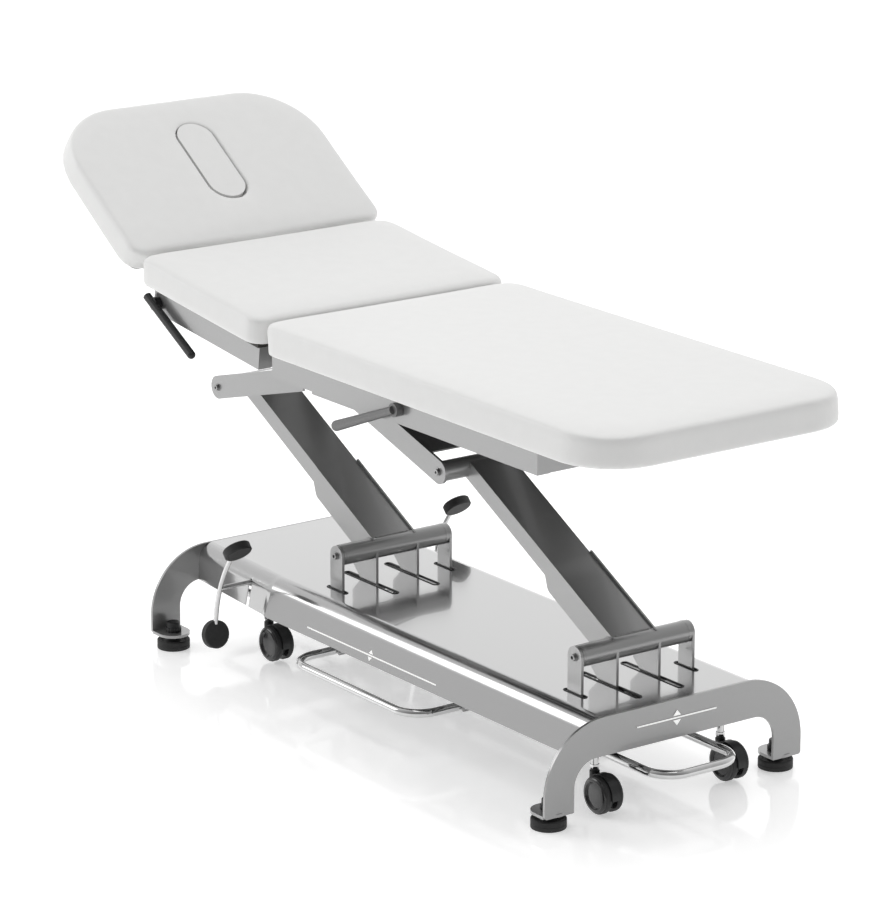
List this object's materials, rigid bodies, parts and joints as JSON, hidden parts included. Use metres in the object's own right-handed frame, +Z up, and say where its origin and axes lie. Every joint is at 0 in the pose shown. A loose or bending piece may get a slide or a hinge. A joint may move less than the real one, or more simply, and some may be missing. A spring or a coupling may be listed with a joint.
{
  "type": "treatment couch",
  "caption": "Height-adjustable treatment couch with sectioned padded top, parallel-arm lift, low covered base, levelling feet, retractable castors, pedals and foot bars.",
  "frame": {"origin": "bottom centre of the couch's envelope, on the floor", "axes": "+X towards the foot end, +Y to the far side, +Z up"},
  "size_m": [1.9689, 0.65, 1.0922],
  "materials": {
    "painted_steel": "fine silver metallic powder coat",
    "upholstery": "smooth matt synthetic leather, sewn edge seams",
    "chrome": "polished chrome plate",
    "black_plastic": "moulded black plastic, fine spark texture",
    "rubber": "moulded black rubber",
    "tread": "black polyurethane tread",
    "bright_steel": "zinc plated steel",
    "board": "dark stained plywood",
    "cast_alloy": "die cast alloy"
  },
  "bodies": {
    "base": {"base_cover": "painted_steel", "base_frame": "painted_steel", "end_plate_head": "painted_steel", "end_plate_foot": "painted_steel", "control_box": "black_plastic", "drive_housing": "cast_alloy", "pivot_post_head_near": "painted_steel", "pivot_post_head_far": "painted_steel", "pivot_post_foot_near": "painted_steel", "pivot_post_foot_far": "painted_steel"},
    "drive_rod": {"drive_rod": "bright_steel"},
    "arm_head": {"arm_channel_head": "painted_steel", "arm_doubler_head": "painted_steel", "arm_tube_head": "painted_steel"},
    "carriage_head": {"castor_carriage_head": "painted_steel"},
    "end_bar_head": {"end_bar_head": "chrome"},
    "castor_fork_head_near": {"castor_fork_head_near": "black_plastic"},
    "castor_wheels_head_near": {"castor_wheels_head_near": "tread"},
    "foot_head_near": {"foot_pad_head_near": "rubber", "foot_screw_head_near": "black_plastic"},
    "castor_fork_head_far": {"castor_fork_head_far": "black_plastic"},
    "castor_wheels_head_far": {"castor_wheels_head_far": "tread"},
    "foot_head_far": {"foot_pad_head_far": "rubber", "foot_screw_head_far": "black_plastic"},
    "arm_foot": {"arm_channel_foot": "painted_steel", "arm_doubler_foot": "painted_steel", "arm_tube_foot": "painted_steel"},
    "carriage_foot": {"castor_carriage_foot": "painted_steel"},
    "end_bar_foot": {"end_bar_foot": "chrome"},
    "castor_fork_foot_near": {"castor_fork_foot_near": "black_plastic"},
    "castor_wheels_foot_near": {"castor_wheels_foot_near": "tread"},
    "foot_foot_near": {"foot_pad_foot_near": "rubber", "foot_screw_foot_near": "black_plastic"},
    "castor_fork_foot_far": {"castor_fork_foot_far": "black_plastic"},
    "castor_wheels_foot_far": {"castor_wheels_foot_far": "tread"},
    "foot_foot_far": {"foot_pad_foot_far": "rubber", "foot_screw_foot_far": "black_plastic"},
    "side_bar_near": {"side_bar_near": "chrome"},
    "side_bar_far": {"side_bar_far": "chrome"},
    "pedal": {"pedal_shaft": "chrome", "pedal_pad_low_near": "rubber", "pedal_pad_high_near": "rubber", "pedal_pad_low_far": "rubber", "pedal_pad_high_far": "rubber"},
    "top": {"link_beam": "painted_steel", "seat_frame": "painted_steel", "seat_cushion": "upholstery", "top_bolts_near": "bright_steel", "top_bolts_far": "bright_steel"},
    "mid": {"mid_frame": "painted_steel", "mid_board": "board", "mid_cushion": "upholstery"},
    "head": {"head_frame": "painted_steel", "head_board": "board", "head_cushion": "upholstery"},
    "face_plug": {"face_plug": "upholstery"},
    "head_handles": {"head_handles": "black_plastic"},
    "seat_handles": {"seat_handles": "bright_steel"}
  },
  "joints": [
    {"name": "lift", "type": "hinge", "parent": "base", "child": "arm_head", "pos_m": [-0.12593, 0, 0.282], "axis": [0, 1, 0], "range_deg": [-31, 29]},
    {"name": "lift_follow", "type": "hinge", "parent": "base", "child": "arm_foot", "pos_m": [0.67707, 0, 0.282], "axis": [0, 1, 0], "range_deg": [-31, 29]},
    {"name": "top_level", "type": "hinge", "parent": "arm_head", "child": "top", "pos_m": [-0.60537, 0, 0.53478], "axis": [0, 1, 0], "range_deg": [-29, 31]},
    {"name": "drive_slide", "type": "slide", "parent": "base", "child": "drive_rod", "axis": [1, 0, 0], "range_m": [-0.0565, 0.0604]},
    {"name": "mid_tilt", "type": "hinge", "parent": "top", "child": "mid", "pos_m": [-0.13822, 0, 0.783], "axis": [0, 1, 0], "range_deg": [-6, 28.6]},
    {"name": "head_tilt", "type": "hinge", "parent": "mid", "child": "head", "pos_m": [-0.60371, 0, 0.83521], "axis": [0, 1, 0], "range_deg": [-39, 17.9]},
    {"name": "face_plug_lift", "type": "slide", "parent": "head", "child": "face_plug", "axis": [0.5519, 0, 0.8339], "range_m": [0, 0.09]},
    {"name": "head_release", "type": "hinge", "parent": "mid", "child": "head_handles", "pos_m": [-0.54961, 0, 0.7577], "axis": [0, 1, 0], "range_deg": [-12, 0], "stiffness_Nm_per_rad": 15, "springref_deg": 6.88},
    {"name": "seat_release", "type": "hinge", "parent": "top", "child": "seat_handles", "pos_m": [0.31607, 0, 0.72], "axis": [0, 1, 0], "range_deg": [0, 12], "stiffness_Nm_per_rad": 25, "springref_deg": -6.88},
    {"name": "pedal_turn", "type": "hinge", "parent": "base", "child": "pedal", "pos_m": [-0.34792, 0, 0.181], "axis": [0, 1, 0], "range_deg": [0, 30]},
    {"name": "carriage_drop_head", "type": "slide", "parent": "base", "child": "carriage_head", "axis": [0, 0, -1], "range_m": [0, 0.0121]},
    {"name": "swivel_head_near", "type": "hinge", "parent": "carriage_head", "child": "castor_fork_head_near", "pos_m": [-0.35592, -0.156, 0.0415], "axis": [0, 0, 1], "continuous": true},
    {"name": "roll_head_near", "type": "hinge", "parent": "castor_fork_head_near", "child": "castor_wheels_head_near", "pos_m": [-0.32793, -0.156, 0.0415], "axis": [0, 1, 0], "continuous": true},
    {"name": "level_head_near", "type": "slide", "parent": "base", "child": "foot_head_near", "axis": [0, 0, 1], "range_m": [0, 0.0038]},
    {"name": "swivel_head_far", "type": "hinge", "parent": "carriage_head", "child": "castor_fork_head_far", "pos_m": [-0.35592, 0.156, 0.0415], "axis": [0, 0, 1], "continuous": true},
    {"name": "roll_head_far", "type": "hinge", "parent": "castor_fork_head_far", "child": "castor_wheels_head_far", "pos_m": [-0.32793, 0.156, 0.0415], "axis": [0, 1, 0], "continuous": true},
    {"name": "level_head_far", "type": "slide", "parent": "base", "child": "foot_head_far", "axis": [0, 0, 1], "range_m": [0, 0.0038]},
    {"name": "end_bar_press_head", "type": "hinge", "parent": "base", "child": "end_bar_head", "pos_m": [-0.43593, 0, 0.092], "axis": [0, -1, 0], "range_deg": [0, 2.5], "stiffness_Nm_per_rad": 120, "springref_deg": -4.58},
    {"name": "carriage_drop_foot", "type": "slide", "parent": "base", "child": "carriage_foot", "axis": [0, 0, -1], "range_m": [0, 0.0121]},
    {"name": "swivel_foot_near", "type": "hinge", "parent": "carriage_foot", "child": "castor_fork_foot_near", "pos_m": [0.76307, -0.156, 0.0415], "axis": [0, 0, 1], "continuous": true},
    {"name": "roll_foot_near", "type": "hinge", "parent": "castor_fork_foot_near", "child": "castor_wheels_foot_near", "pos_m": [0.79107, -0.156, 0.0415], "axis": [0, 1, 0], "continuous": true},
    {"name": "level_foot_near", "type": "slide", "parent": "base", "child": "foot_foot_near", "axis": [0, 0, 1], "range_m": [0, 0.0038]},
    {"name": "swivel_foot_far", "type": "hinge", "parent": "carriage_foot", "child": "castor_fork_foot_far", "pos_m": [0.76307, 0.156, 0.0415], "axis": [0, 0, 1], "continuous": true},
    {"name": "roll_foot_far", "type": "hinge", "parent": "castor_fork_foot_far", "child": "castor_wheels_foot_far", "pos_m": [0.79107, 0.156, 0.0415], "axis": [0, 1, 0], "continuous": true},
    {"name": "level_foot_far", "type": "slide", "parent": "base", "child": "foot_foot_far", "axis": [0, 0, 1], "range_m": [0, 0.0038]},
    {"name": "end_bar_press_foot", "type": "hinge", "parent": "base", "child": "end_bar_foot", "pos_m": [0.61408, 0, 0.092], "axis": [0, 1, 0], "range_deg": [0, 2.5], "stiffness_Nm_per_rad": 120, "springref_deg": -4.58},
    {"name": "side_bar_press_near", "type": "hinge", "parent": "base", "child": "side_bar_near", "pos_m": [0.12408, -0.16, 0.092], "axis": [1, 0, 0], "range_deg": [0, 4], "stiffness_Nm_per_rad": 120, "springref_deg": -4.58},
    {"name": "side_bar_press_far", "type": "hinge", "parent": "base", "child": "side_bar_far", "pos_m": [0.12408, 0.16, 0.092], "axis": [-1, 0, 0], "range_deg": [0, 4], "stiffness_Nm_per_rad": 120, "springref_deg": -4.58}
  ],
  "couplings": [
    {"joint": "lift_follow", "follows": "lift", "ratio": 1},
    {"joint": "top_level", "follows": "lift", "ratio": -1},
    {"joint": "drive_slide", "follows": "lift", "m_per_rad": -0.1107},
    {"joint": "carriage_drop_head", "follows": "pedal_turn", "m_per_rad": 0.022918},
    {"joint": "carriage_drop_foot", "follows": "pedal_turn", "m_per_rad": 0.022918}
  ]
}
